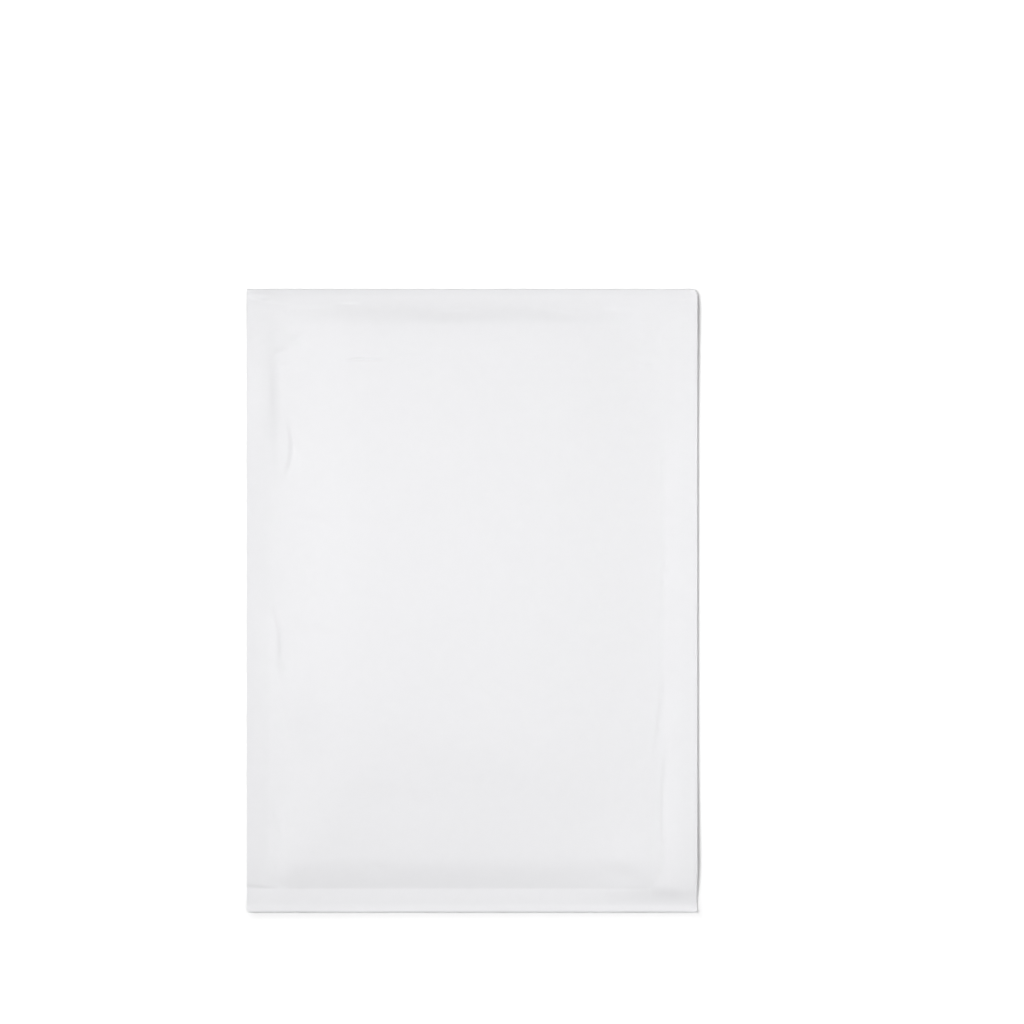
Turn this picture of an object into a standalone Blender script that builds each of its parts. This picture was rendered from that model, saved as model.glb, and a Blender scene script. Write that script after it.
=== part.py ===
"""Padded mailing envelope: a white kraft paper pocket lined with bubble film.

It lies on its back with the address face up, the top fold towards +Y and the flap
folded under it. One die-cut paper blank makes the front, the bottom fold, the back
and the flap. One web of bubble film, folded near the bottom, lines the pocket.
"""

import math

import bmesh
import bpy
from mathutils import Vector

# Outer size, with the flap folded behind
ENVELOPE_WIDTH = 0.200
ENVELOPE_LENGTH = 0.277
PAD_THICKNESS = 0.0078

# Paper blank
PAPER_THICKNESS = 0.0002
SIDE_SEAM_WIDTH = 0.0089
BOTTOM_BAND_HEIGHT = 0.0107
MOUTH_SETBACK = 0.0012
FLAP_DEPTH = 0.0471
FLAP_SHOULDER_DEPTH = 0.0267
FLAP_NECK_WIDTH = 0.1888
FLAP_NECK_FILLET = 0.0027
FLAP_END_WIDTH = 0.1724
FLAP_CORNER_RADIUS = 0.0009
WORN_CORNER_RADIUS = 0.003

# Bubble film
FILM_THICKNESS = 0.00015
BUBBLE_PITCH = 0.0101
BUBBLE_HEIGHT = 0.0031
BUBBLE_TAPER = 0.0012
LEAST_BUBBLE_HEIGHT = 0.0005
FILM_FOLD_SETBACK = 0.0015
FILM_EDGE_SLACK = 0.0035
FRONT_FILM_TOP_SETBACK = 0.014
BACK_FILM_TOP_SETBACK = 0.0236

# Closure strips
ADHESIVE_THICKNESS = 0.00015
ADHESIVE_WIDTH = 0.012
ADHESIVE_MARGIN = 0.004
LINER_THICKNESS = 0.0001
TAPE_THICKNESS = 0.0001
TAPE_WIDTH = 0.0156
TAPE_SETBACK = 0.0049

# Clearance between layers that lie against each other
LAYER_GAP = 0.0002
TAPE_CLEARANCE = 0.00002

# Padded form, which swells from the seams over a wide roll at the sides and a short one
# at the bottom, and lies nearer the left seam
PAD_LEFT_SLACK = 0.0009
PAD_RIGHT_SLACK = 0.0056
SIDE_ROLL = 0.040
BOTTOM_ROLL = 0.012
EDGE_SHARE = 0.30
EDGE_FULLNESS = 1.9
CROWN_REACH = 0.085
BACK_CORNER_RADIUS = 0.018
BACK_ROLL = 0.012
MOUTH_RISE_START = 0.0015
MOUTH_RISE_END = 0.024
FLAP_STEP_MARGIN = 0.002
FLAP_STEP_LENGTH = 0.012

# Bottom fold, which stays springy: it rests near the table and bulges above the band
BOTTOM_FOLD_REST = 0.00005
BOTTOM_FOLD_SWELL = 0.0003
BOTTOM_BULGE_LENGTH = 0.003
BOTTOM_DROOP_LENGTH = 0.022

# Facets round each fold and each fillet
BOTTOM_FOLD_FACETS = 4
TOP_FOLD_FACETS = 6
FILLET_FACETS = 3

# Two points closer than this along a cut are one point
CUT_TOLERANCE = 1e-6

# A cell twisted further than this creases along its shorter diagonal
TWIST_LIMIT = 0.0002

# Values worked out from the sizes above
HALF_WIDTH = ENVELOPE_WIDTH / 2
TOP = ENVELOPE_LENGTH / 2
BOTTOM = -TOP
POCKET_HALF_WIDTH = HALF_WIDTH - SIDE_SEAM_WIDTH
PAD_LEFT = POCKET_HALF_WIDTH - PAD_LEFT_SLACK
PAD_RIGHT = POCKET_HALF_WIDTH - PAD_RIGHT_SLACK
BAND_TOP = BOTTOM + BOTTOM_BAND_HEIGHT
MOUTH = TOP - MOUTH_SETBACK
FLAP_END = TOP - FLAP_DEPTH
FLAP_SHOULDER = TOP - FLAP_SHOULDER_DEPTH

FLAP_LEVEL = PAPER_THICKNESS / 2
LINER_TOP = PAPER_THICKNESS + ADHESIVE_THICKNESS + LINER_THICKNESS
BACK_SEAM_LEVEL = LINER_TOP + LAYER_GAP + PAPER_THICKNESS / 2
FILM_OFFSET = PAPER_THICKNESS / 2 + LAYER_GAP + FILM_THICKNESS / 2
FRONT_SEAM_LEVEL = BACK_SEAM_LEVEL + 2 * FILM_OFFSET + FILM_THICKNESS + LAYER_GAP
FRONT_BAND_LEVEL = BACK_SEAM_LEVEL + PAPER_THICKNESS + LAYER_GAP
FRONT_LOFT = PAD_THICKNESS - PAPER_THICKNESS / 2 - FRONT_SEAM_LEVEL
BACK_SAG = BACK_SEAM_LEVEL - PAPER_THICKNESS / 2

BOTTOM_FOLD_LOW = PAPER_THICKNESS / 2 + BOTTOM_FOLD_REST
BOTTOM_FOLD_HIGH = FRONT_BAND_LEVEL + BOTTOM_FOLD_SWELL
BOTTOM_FOLD_RADIUS = (BOTTOM_FOLD_HIGH - BOTTOM_FOLD_LOW) / 2
BOTTOM_FOLD_CENTRE = BOTTOM + PAPER_THICKNESS / 2 + BOTTOM_FOLD_RADIUS
TOP_FOLD_RADIUS = (FRONT_SEAM_LEVEL - FLAP_LEVEL) / 2
TOP_FOLD_CENTRE = TOP - PAPER_THICKNESS / 2 - TOP_FOLD_RADIUS

FILM_FOLD_LINE = BAND_TOP + FILM_FOLD_SETBACK
FILM_TURN = FILM_FOLD_SETBACK / 2
FRONT_FILM_TOP = TOP - FRONT_FILM_TOP_SETBACK
BACK_FILM_TOP = TOP - BACK_FILM_TOP_SETBACK
BUBBLE_COLUMNS = round(2 * POCKET_HALF_WIDTH / BUBBLE_PITCH)
FRONT_BUBBLE_ROWS = round((FRONT_FILM_TOP - FILM_FOLD_LINE) / BUBBLE_PITCH)
BACK_BUBBLE_ROWS = round((BACK_FILM_TOP - FILM_FOLD_LINE) / BUBBLE_PITCH)
CELL_WIDTH = 2 * POCKET_HALF_WIDTH / BUBBLE_COLUMNS
FRONT_CELL_LENGTH = (FRONT_FILM_TOP - FILM_FOLD_LINE) / FRONT_BUBBLE_ROWS
BACK_CELL_LENGTH = (BACK_FILM_TOP - FILM_FOLD_LINE) / BACK_BUBBLE_ROWS


def ease(share):
    """Smooth step from 0 to 1."""
    share = min(max(share, 0.0), 1.0)
    return share * share * (3 - 2 * share)


def rounded_rise(inset, reach, power):
    """Share of the full height at a distance from the seam, steepest at the seam."""
    share = min(max(inset / reach, 0.0), 1.0)
    return 1 - (1 - share) ** power


def front_fullness(x, y, slack):
    """Share of the front's full loft, which falls off to the pad's sides and bottom."""
    side = min(PAD_LEFT + x, PAD_RIGHT - x) - slack
    low = y - BAND_TOP - slack
    outside = math.hypot(max(1 - side / SIDE_ROLL, 0.0), max(1 - low / BOTTOM_ROLL, 0.0))
    edge = rounded_rise(1 - outside, 1.0, EDGE_FULLNESS)
    crown = rounded_rise(side, CROWN_REACH, 2) * rounded_rise(low, CROWN_REACH, 2)
    return edge * (EDGE_SHARE + (1 - EDGE_SHARE) * crown)


def front_level(x, y, slack=0.0):
    """Height of the middle of the front panel's paper, or of a layer that hangs slack."""
    band_rise = ease((y - BAND_TOP) / FILM_FOLD_SETBACK)
    bulge = ease(1 - (y - BOTTOM_FOLD_CENTRE) / BOTTOM_BULGE_LENGTH)
    base = FRONT_BAND_LEVEL + (FRONT_SEAM_LEVEL - FRONT_BAND_LEVEL) * band_rise
    mouth = ease((TOP - MOUTH_RISE_START - y) / (MOUTH_RISE_END - MOUTH_RISE_START))
    return base + BOTTOM_FOLD_SWELL * bulge + FRONT_LOFT * front_fullness(x, y, slack) * mouth


def back_inset(x, y):
    """Distance inside the side seams and the bottom band, round at their corners."""
    across = abs(x) - (POCKET_HALF_WIDTH - BACK_CORNER_RADIUS)
    along = BAND_TOP + BACK_CORNER_RADIUS - y
    if across > 0 and along > 0:
        return BACK_CORNER_RADIUS - math.hypot(across, along)
    return BACK_CORNER_RADIUS - max(across, along)


def back_level(x, y, slack=0.0):
    """Height of the middle of the back panel's paper, which clears the folded flap."""
    roll = rounded_rise(back_inset(x, y) - slack, BACK_ROLL, 2)
    clear_of_flap = ease((FLAP_END - FLAP_STEP_MARGIN - y) / FLAP_STEP_LENGTH)
    level = BACK_SEAM_LEVEL - BACK_SAG * roll * clear_of_flap
    droop = ease(1 - (y - BOTTOM_FOLD_CENTRE) / BOTTOM_DROOP_LENGTH)
    return level + (BOTTOM_FOLD_LOW - level) * droop


def worn_edge(y):
    """Right-hand cut edge, which rounds off where it reaches the top fold."""
    into_corner = max(y - (TOP - WORN_CORNER_RADIUS), 0.0)
    rise = math.sqrt(max(WORN_CORNER_RADIUS ** 2 - into_corner ** 2, 0.0))
    return HALF_WIDTH - WORN_CORNER_RADIUS + rise


def spaced(first, last, count):
    """Evenly spaced values between two ends, both ends included."""
    return [first + (last - first) * step / count for step in range(count + 1)]


def across_stations():
    """Places across the width where the sheets bend, closest together on the slopes."""
    cells_in = (0, 1 / 2, 1, 2, 3, 9 / 2, 7)
    left = [cells * CELL_WIDTH - PAD_LEFT for cells in cells_in]
    right = [PAD_RIGHT - cells * CELL_WIDTH for cells in cells_in]
    return sorted(left + right + [-POCKET_HALF_WIDTH, 0.0, POCKET_HALF_WIDTH])


def front_stations():
    """Places up the front panel where its paper bends."""
    cells_up = (-1 / 12, 0, 1 / 4, 1 / 2, 1, 3 / 2, 2, 3, 9 / 2, 6, 8, 11, 15, 19, 22)
    pad = [FILM_FOLD_LINE + cells * FRONT_CELL_LENGTH for cells in cells_up]
    mouth = spaced(TOP - MOUTH_RISE_END, TOP - MOUTH_RISE_START, 6)
    bulge_end = BOTTOM_FOLD_CENTRE + BOTTOM_BULGE_LENGTH
    bulge = spaced(BOTTOM_FOLD_CENTRE, bulge_end, 3)[1:]
    return bulge + [BAND_TOP] + pad + mouth


def back_stations():
    """Places up the back panel where its paper bends."""
    cells_up = (0, 1 / 2, 1, 3 / 2, 6, 12, 18)
    pad = [FILM_FOLD_LINE + cells * BACK_CELL_LENGTH for cells in cells_up]
    step_top = FLAP_END - FLAP_STEP_MARGIN
    band = spaced(BOTTOM_FOLD_CENTRE, BAND_TOP, 3)[1:]
    return band + pad + spaced(step_top - FLAP_STEP_LENGTH, step_top, 4)


# Lengths along the flat blank, counted from the middle of the bottom fold
BOTTOM_TURN = BOTTOM_FOLD_RADIUS * math.pi / 2
TOP_TURN = TOP_FOLD_RADIUS * math.pi / 2
FRONT_END = BOTTOM_TURN + TOP_FOLD_CENTRE - BOTTOM_FOLD_CENTRE
CREST = FRONT_END + TOP_TURN
FLAP_START = CREST + TOP_TURN


def on_front(y):
    """Length along the blank of a place on the front panel."""
    return BOTTOM_TURN + y - BOTTOM_FOLD_CENTRE


def on_back(y):
    """Length along the blank of a place on the back panel."""
    return -on_front(y)


def on_flap(y):
    """Length along the blank of a place on the flap."""
    return FLAP_START + TOP_FOLD_CENTRE - y


def fold_paper(x, length):
    """Where a point of the flat paper blank lies once it is folded."""
    if length < -BOTTOM_TURN:
        y = BOTTOM_FOLD_CENTRE - BOTTOM_TURN - length
        return x, y, back_level(x, y)
    if length < BOTTOM_TURN:
        turn = length / BOTTOM_FOLD_RADIUS
        middle = (BOTTOM_FOLD_HIGH + BOTTOM_FOLD_LOW) / 2
        y = BOTTOM_FOLD_CENTRE - BOTTOM_FOLD_RADIUS * math.cos(turn)
        return x, y, middle + BOTTOM_FOLD_RADIUS * math.sin(turn)
    if length < FRONT_END:
        y = BOTTOM_FOLD_CENTRE + length - BOTTOM_TURN
        return x, y, front_level(x, y)
    if length < FLAP_START:
        turn = (length - CREST) / TOP_FOLD_RADIUS
        middle = (FRONT_SEAM_LEVEL + FLAP_LEVEL) / 2
        y = TOP_FOLD_CENTRE + TOP_FOLD_RADIUS * math.cos(turn)
        return x, y, middle - TOP_FOLD_RADIUS * math.sin(turn)
    return x, TOP_FOLD_CENTRE - (length - FLAP_START), FLAP_LEVEL


def film_offset_point(x, y, web):
    """Middle of the bubble film on the front (1) or back (-1) web."""
    if web > 0:
        return x, y, front_level(x, y, FILM_EDGE_SLACK) - FILM_OFFSET
    return x, y, back_level(x, y, FILM_EDGE_SLACK) + FILM_OFFSET


def fold_film(x, length):
    """Where a point of the flat film lies once it is folded and in the pocket."""
    if length > FILM_TURN:
        return film_offset_point(x, FILM_FOLD_LINE + length - FILM_TURN, 1)
    if length < -FILM_TURN:
        return film_offset_point(x, FILM_FOLD_LINE - length - FILM_TURN, -1)
    front = film_offset_point(x, FILM_FOLD_LINE, 1)[2]
    back = film_offset_point(x, FILM_FOLD_LINE, -1)[2]
    turn = length / FILM_TURN * math.pi / 2
    radius = (front - back) / 2
    y = FILM_FOLD_LINE - radius * math.cos(turn)
    return x, y, (front + back) / 2 + radius * math.sin(turn)


def rounded_corner(before, corner, after, radius):
    """Points of an arc that rounds off one corner of an outline."""
    corner = Vector(corner)
    to_before = (Vector(before) - corner).normalized()
    to_after = (Vector(after) - corner).normalized()
    half_angle = to_before.angle(to_after) / 2
    reach = radius / math.tan(half_angle)
    bisector = (to_before + to_after).normalized()
    centre = corner + bisector * radius / math.sin(half_angle)
    first = corner + to_before * reach - centre
    last = corner + to_after * reach - centre
    start = math.atan2(first.y, first.x)
    turn = math.remainder(math.atan2(last.y, last.x) - start, math.tau)
    angles = spaced(start, start + turn, FILLET_FACETS)
    return [(centre.x + radius * math.cos(a), centre.y + radius * math.sin(a)) for a in angles]


def flap_side():
    """Right side of the flap from its shoulder to its end, as (x, y) from above."""
    shoulder = (HALF_WIDTH, FLAP_SHOULDER)
    neck = (FLAP_NECK_WIDTH / 2, FLAP_SHOULDER)
    end = (FLAP_END_WIDTH / 2, FLAP_END)
    middle = (0.0, FLAP_END)
    fillet = rounded_corner(shoulder, neck, end, FLAP_NECK_FILLET)
    corner = rounded_corner(neck, end, middle, FLAP_CORNER_RADIUS)
    return [shoulder] + fillet + corner


def mirrored(side):
    """The same points on the left, in the opposite order."""
    return [(-x, along) for x, along in reversed(side)]


def paper_outline():
    """Die-cut outline of the flat blank, as (x, length along the blank)."""
    corner_y = TOP - WORN_CORNER_RADIUS
    into_back = [on_back(y) for y in spaced(MOUTH, corner_y, FILLET_FACETS)]
    up_front = [on_front(y) for y in spaced(corner_y, TOP_FOLD_CENTRE, FILLET_FACETS)]
    over_fold = spaced(FRONT_END, FLAP_START, TOP_FOLD_FACETS)[1:-1]
    down_flap = [on_flap(y) for y in spaced(TOP_FOLD_CENTRE, corner_y, FILLET_FACETS)]
    worn = into_back + up_front + over_fold + down_flap
    right = [(worn_edge(fold_paper(0.0, length)[1]), length) for length in worn]
    flap = [(x, on_flap(y)) for x, y in flap_side()]
    left = [(-HALF_WIDTH, on_back(MOUTH))]
    return right + flap + mirrored(flap) + left


def paper_bends():
    """Every length along the paper blank where it bends."""
    lengths = [on_back(y) for y in back_stations()]
    lengths += [on_front(y) for y in front_stations()]
    lengths += spaced(-BOTTOM_TURN, BOTTOM_TURN, BOTTOM_FOLD_FACETS)
    lengths += spaced(FRONT_END, FLAP_START, TOP_FOLD_FACETS)
    lengths.append(on_flap(FLAP_SHOULDER))
    return lengths


def film_outline():
    """The flat web of film, as (x, length along the film)."""
    front_end = FILM_TURN + FRONT_FILM_TOP - FILM_FOLD_LINE
    back_end = -FILM_TURN - (BACK_FILM_TOP - FILM_FOLD_LINE)
    right = [(HALF_WIDTH, back_end), (HALF_WIDTH, front_end)]
    return right + mirrored(right)


def film_bends():
    """Every length along the film where a row of bubbles or the fold ends."""
    lengths = spaced(-FILM_TURN, FILM_TURN, BOTTOM_FOLD_FACETS)
    for row in range(1, FRONT_BUBBLE_ROWS):
        lengths.append(FILM_TURN + row * FRONT_CELL_LENGTH)
    for row in range(1, BACK_BUBBLE_ROWS):
        lengths.append(-FILM_TURN - row * BACK_CELL_LENGTH)
    return lengths


def material(name, colour, roughness, transmission=0.0):
    """Plain material of one sub-part."""
    made = bpy.data.materials.new(name)
    made.use_nodes = True
    shader = made.node_tree.nodes["Principled BSDF"]
    shader.inputs["Base Color"].default_value = (*colour, 1.0)
    shader.inputs["Roughness"].default_value = roughness
    shader.inputs["Metallic"].default_value = 0.0
    shader.inputs["Transmission Weight"].default_value = transmission
    return made


def add_object(name, mesh, collection, surface):
    """One named sub-part with its material."""
    part = bpy.data.objects.new(name, mesh)
    mesh.materials.append(surface)
    collection.objects.link(part)
    return part


def twist(face):
    """How far the last corner of a four-sided face stands off the other three."""
    corners = [vertex.co for vertex in face.verts]
    normal = (corners[1] - corners[0]).cross(corners[2] - corners[0]).normalized()
    return abs((corners[3] - corners[0]).dot(normal))


def folded_sheet(name, outline, across, along, fold):
    """A flat outline cut into strips where it bends, then folded point by point."""
    sheet = bmesh.new()
    sheet.faces.new([sheet.verts.new((x, length, 0.0)) for x, length in outline])
    cuts = [((x, 0, 0), (1, 0, 0)) for x in across]
    cuts += [((0, length, 0), (0, 1, 0)) for length in along]
    for place, normal in cuts:
        bmesh.ops.bisect_plane(
            sheet,
            geom=sheet.verts[:] + sheet.edges[:] + sheet.faces[:],
            dist=CUT_TOLERANCE,
            plane_co=place,
            plane_no=normal,
        )
    for vertex in sheet.verts:
        vertex.co = fold(vertex.co.x, vertex.co.y)
    cells = [face for face in sheet.faces if len(face.verts) == 4]
    twisted = [cell for cell in cells if twist(cell) > TWIST_LIMIT]
    bmesh.ops.triangulate(sheet, faces=twisted, quad_method="SHORT_EDGE")
    mesh = bpy.data.meshes.new(name)
    sheet.to_mesh(mesh)
    sheet.free()
    return mesh


def thicken(sheet, thickness):
    """Give a sheet its thickness, half on each side."""
    wall = sheet.modifiers.new("Thickness", "SOLIDIFY")
    wall.thickness = thickness
    wall.offset = 0.0
    wall.use_even_offset = True
    return wall


def bake_modifiers(part):
    """Replace the mesh with the one its modifiers make."""
    graph = bpy.context.evaluated_depsgraph_get()
    made = bpy.data.meshes.new_from_object(part.evaluated_get(graph))
    part.modifiers.clear()
    part.data = made


def bubble_depth(x, y):
    """Height of a bubble, which stops short of the one that faces it."""
    front = film_offset_point(x, y, 1)[2]
    back = film_offset_point(x, y, -1)[2]
    room = (front - back - FILM_THICKNESS - LAYER_GAP) / 2
    return min(BUBBLE_HEIGHT, room)


def bubble_web(face):
    """Web that a face belongs to if a bubble rises from it, or 0."""
    if len(face.verts) != 4:
        return 0
    centre = face.calc_center_median()
    if abs(centre.x) > POCKET_HALF_WIDTH or centre.y < FILM_FOLD_LINE:
        return 0
    front = film_offset_point(centre.x, centre.y, 1)[2]
    back = film_offset_point(centre.x, centre.y, -1)[2]
    web = 1 if centre.z > (front + back) / 2 else -1
    if face.normal.z * web > 0:
        return 0
    cell_length = FRONT_CELL_LENGTH if web > 0 else BACK_CELL_LENGTH
    column = math.floor((centre.x + POCKET_HALF_WIDTH) / CELL_WIDTH)
    row = math.floor((centre.y - FILM_FOLD_LINE) / cell_length)
    staggered = (column + row) % 2 == 0
    room = min(bubble_depth(vertex.co.x, vertex.co.y) for vertex in face.verts)
    return web if staggered and room > LEAST_BUBBLE_HEIGHT else 0


def raise_bubbles(film):
    """Raise the staggered bubbles from the inner faces of both webs."""
    shape = bmesh.new()
    shape.from_mesh(film.data)
    shape.normal_update()
    webs = [(face, bubble_web(face)) for face in shape.faces]
    for face, web in webs:
        if web:
            bmesh.ops.inset_individual(shape, faces=[face], thickness=BUBBLE_TAPER)
            for vertex in face.verts:
                vertex.co.z -= web * bubble_depth(vertex.co.x, vertex.co.y)
    shape.to_mesh(film.data)
    shape.free()


def flat_strip(name, outline, bottom, thickness):
    """A flat strip cut to an outline and given its thickness."""
    curve = bpy.data.curves.new(name, "CURVE")
    curve.dimensions = "2D"
    curve.fill_mode = "BOTH"
    curve.extrude = thickness / 2
    edge = curve.splines.new("POLY")
    edge.points.add(len(outline) - 1)
    for point, (x, y) in zip(edge.points, outline):
        point.co = (x, y, 0.0, 1.0)
    edge.use_cyclic_u = True
    guide = bpy.data.objects.new(name + "_outline", curve)
    bpy.context.scene.collection.objects.link(guide)
    graph = bpy.context.evaluated_depsgraph_get()
    mesh = bpy.data.meshes.new_from_object(guide.evaluated_get(graph))
    bpy.data.objects.remove(guide)
    strip = bmesh.new()
    strip.from_mesh(mesh)
    bmesh.ops.remove_doubles(strip, verts=strip.verts, dist=CUT_TOLERANCE)
    bmesh.ops.recalc_face_normals(strip, faces=strip.faces)
    bmesh.ops.translate(strip, verts=strip.verts, vec=(0, 0, bottom + thickness / 2))
    strip.to_mesh(mesh)
    strip.free()
    mesh.name = name
    return mesh


def rectangle(left, right, low, high):
    """Corners of a rectangle seen from above."""
    return [(left, low), (right, low), (right, high), (left, high)]


def build_paper(parts):
    """The folded paper blank: front, bottom fold, back, top fold and flap."""
    mesh = folded_sheet(
        "paper_pocket", paper_outline(), across_stations(), paper_bends(), fold_paper
    )
    surface = material("white_kraft_paper", (0.86, 0.86, 0.88), 0.7)
    paper = add_object("paper_pocket", mesh, parts, surface)
    thicken(paper, PAPER_THICKNESS)
    return paper


def build_lining(parts):
    """The bubble film, its flat side to the paper and its bubbles facing inward."""
    columns = spaced(-POCKET_HALF_WIDTH, POCKET_HALF_WIDTH, BUBBLE_COLUMNS)
    mesh = folded_sheet(
        "bubble_lining", film_outline(), columns, film_bends(), fold_film
    )
    surface = material("bubble_film", (0.93, 0.95, 0.96), 0.25, 0.8)
    film = add_object("bubble_lining", mesh, parts, surface)
    thicken(film, FILM_THICKNESS)
    bake_modifiers(film)
    raise_bubbles(film)
    return film


def build_closure(parts):
    """The adhesive on the flap with its release liner, and the tape on the back."""
    adhesive_end = FLAP_END + ADHESIVE_MARGIN
    half_length = FLAP_END_WIDTH / 2 - ADHESIVE_MARGIN
    adhesive = flat_strip(
        "adhesive_strip",
        rectangle(-half_length, half_length, adhesive_end, adhesive_end + ADHESIVE_WIDTH),
        PAPER_THICKNESS,
        ADHESIVE_THICKNESS,
    )
    add_object("adhesive_strip", adhesive, parts, material("hot_melt", (0.9, 0.88, 0.8), 0.3))

    side = flap_side()[1:]
    liner = flat_strip(
        "release_liner",
        side + mirrored(side),
        PAPER_THICKNESS + ADHESIVE_THICKNESS,
        LINER_THICKNESS,
    )
    add_object("release_liner", liner, parts, material("silicone_paper", (0.85, 0.84, 0.81), 0.35))

    tape_top = TOP - TAPE_SETBACK
    tape = flat_strip(
        "reopen_tape",
        rectangle(-HALF_WIDTH, HALF_WIDTH, tape_top - TAPE_WIDTH, tape_top),
        BACK_SEAM_LEVEL - PAPER_THICKNESS / 2 - TAPE_CLEARANCE - TAPE_THICKNESS,
        TAPE_THICKNESS,
    )
    add_object("reopen_tape", tape, parts, material("clear_film", (0.9, 0.9, 0.9), 0.12, 0.9))


def build():
    """Clear the scene and make the envelope."""
    for old in list(bpy.data.objects):
        bpy.data.objects.remove(old)
    parts = bpy.data.collections.new("padded_envelope")
    bpy.context.scene.collection.children.link(parts)
    build_paper(parts)
    build_lining(parts)
    build_closure(parts)


build()
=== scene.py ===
"""Dresses the padded envelope's solids: folded kraft paper, bubble film, tape and liner."""

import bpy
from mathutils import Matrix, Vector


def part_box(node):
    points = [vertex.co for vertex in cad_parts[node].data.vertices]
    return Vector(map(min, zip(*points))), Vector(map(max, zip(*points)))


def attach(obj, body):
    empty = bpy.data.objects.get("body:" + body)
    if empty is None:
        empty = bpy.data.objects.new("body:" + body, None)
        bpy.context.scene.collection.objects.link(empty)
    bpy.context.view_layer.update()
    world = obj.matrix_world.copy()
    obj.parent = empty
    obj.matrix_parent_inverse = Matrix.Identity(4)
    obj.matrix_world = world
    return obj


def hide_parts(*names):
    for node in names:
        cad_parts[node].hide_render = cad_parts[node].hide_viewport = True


bl_info = {
    "name": "Padded envelope",
    "version": (1, 0, 0),
    "blender": (4, 5, 0),
    "location": "View3D > Sidebar > Envelope",
    "description": "Builds the paper, lining, closure strips and stage of a padded envelope",
    "category": "Object",
}

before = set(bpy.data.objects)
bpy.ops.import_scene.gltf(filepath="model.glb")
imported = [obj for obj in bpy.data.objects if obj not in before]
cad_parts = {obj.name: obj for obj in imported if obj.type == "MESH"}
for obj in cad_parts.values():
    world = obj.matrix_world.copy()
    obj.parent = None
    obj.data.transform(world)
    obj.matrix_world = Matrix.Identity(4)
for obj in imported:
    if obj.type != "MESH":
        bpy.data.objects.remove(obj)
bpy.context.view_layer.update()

import math

import bpy
import numpy as np
from bpy.props import FloatProperty, PointerProperty, StringProperty
from mathutils import Matrix, Vector, noise

PAPER_LOW, PAPER_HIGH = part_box("paper_pocket")
FILM_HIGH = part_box("bubble_lining")[1]
LINER_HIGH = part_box("release_liner")[1]
TAPE_LOW, TAPE_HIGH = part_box("reopen_tape")

MM = 0.001

# Rounding tolerance, and the gap between neighbouring layers
TOLERANCE = 0.001 * MM
LAYER_GAP = 0.2 * MM

# Rolls at the pad's rim: how far in they reach, low down and farther up, and how full they are
SIDE_ROLL = 40.0 * MM
SIDE_ROLL_LOW = 10.0 * MM
SIDE_ROLL_RUN = 60.0 * MM
BOTTOM_ROLL = 13.0 * MM
EDGE_FULLNESS = 1.6
EDGE_SHARE = 0.22

# Crown of the pad: its slow rise from the sides and from the bottom
CROWN_REACH = 85.0 * MM
CROWN_RUN = 125.0 * MM
CROWN_RUN_FULLNESS = 1.4

# Lift of the seams past the springy top fold
TOP_LIFT = 1.1 * MM
TOP_LIFT_REACH = 15.0 * MM
TOP_LIFT_END = 70.0 * MM

# Bottom fold: levels of the back and the front at it, and how far up each is bent
LOW_FOLD_LEVELS = (0.15 * MM, 1.45 * MM)
LOW_FOLD_BULGE = 3.0 * MM
LOW_FOLD_DROOP = 22.0 * MM

# Cut edges, left and right: how far the front bends down there, and over what width
CURL = (-0.10 * MM, 0.70 * MM)
CURL_WIDTHS = (3.0 * MM, 0.9 * MM)

# Side seams: how far the front is pressed down, and how far the left one stands off the table
SEAM_PINCH = 0.38 * MM
LEFT_LIFT = 0.58 * MM
LEFT_LIFT_FADE = 14.0 * MM

# Back panel: the roll at its rim and the step past the flap's free edge
BACK_ROLL = 12.0 * MM
STEP_MARGIN = 2.0 * MM
STEP_LENGTH = 12.0 * MM

# Slow waves of the front's paper, and the margin where they and the wrinkles fade out
WAVE_LENGTH = 42.0 * MM
WAVE_HEIGHT = 0.22 * MM
WAVE_SLICE = 0.37
SHEET_FADE = 2.0 * MM

# Bubble film: it hangs slack inside the pad, and its sheets nearly touch where they are pressed
FILM_FOLD_SETBACK = 2.5 * MM
FILM_TURN = 0.75 * MM
FILM_BACK_SETBACK = 23.6 * MM
FILM_SLACK = 4.5 * MM
FILM_DROP = 1.3 * MM
FILM_CLEARANCE = 0.45 * MM
FILM_INSET = 1.0 * MM
TOUCH_GAP = 0.05 * MM
TAPE_GAP = 0.03 * MM

# Bubbles: a round form with inset rings on top that a steep dome lifts
BUBBLE_SIDES = 12
BUBBLE_INSETS = (0.5 * MM, 0.9 * MM, 1.3 * MM)
DOME_SHARE = 0.97
DOME_POWER = 4

# Places of the bubbles: columns, first row and side margin in pitches, points round the rim
# where the room is measured, and the least height
BUBBLE_COLUMNS = range(-9, 9)
BUBBLE_START = 0.6
BUBBLE_MARGIN = 0.7
RIM_STEPS = 8
LOWEST_BUBBLE = 0.5 * MM

# Outline of the blank
FLAP_FILLET = 2.7 * MM
FILLET_FLARE = 0.35
FLAP_END_CORNER = 0.9 * MM
CUT_CORNERS = (1.1 * MM, 0.7 * MM)
EDGE_BLEND = 10.0 * MM

# Columns of the paper's mesh: distance from the left or the right edge and the spacing from
# there on, in mm
EDGE_COLUMN = 1.1
LEFT_COLUMNS = ((12.0, 0.55), (28.0, 2.6))
RIGHT_COLUMNS = ((42.0, 1.1), (22.0, 0.55), (11.0, 1.1))

# Rows of the front's mesh, in mm: the spacing from the bottom fold up, then each place along
# the front and the spacing from there up
LOW_ROW = 0.42
FRONT_ROWS = (
    (-133.7, 0.85), (-130.0, 0.42), (-125.5, 0.85), (-106.5, 1.6), (100.5, 0.85),
    (105.7, 0.36), (109.0, 0.85), (130.5, 0.42), (135.5, 0.85),
)

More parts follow.
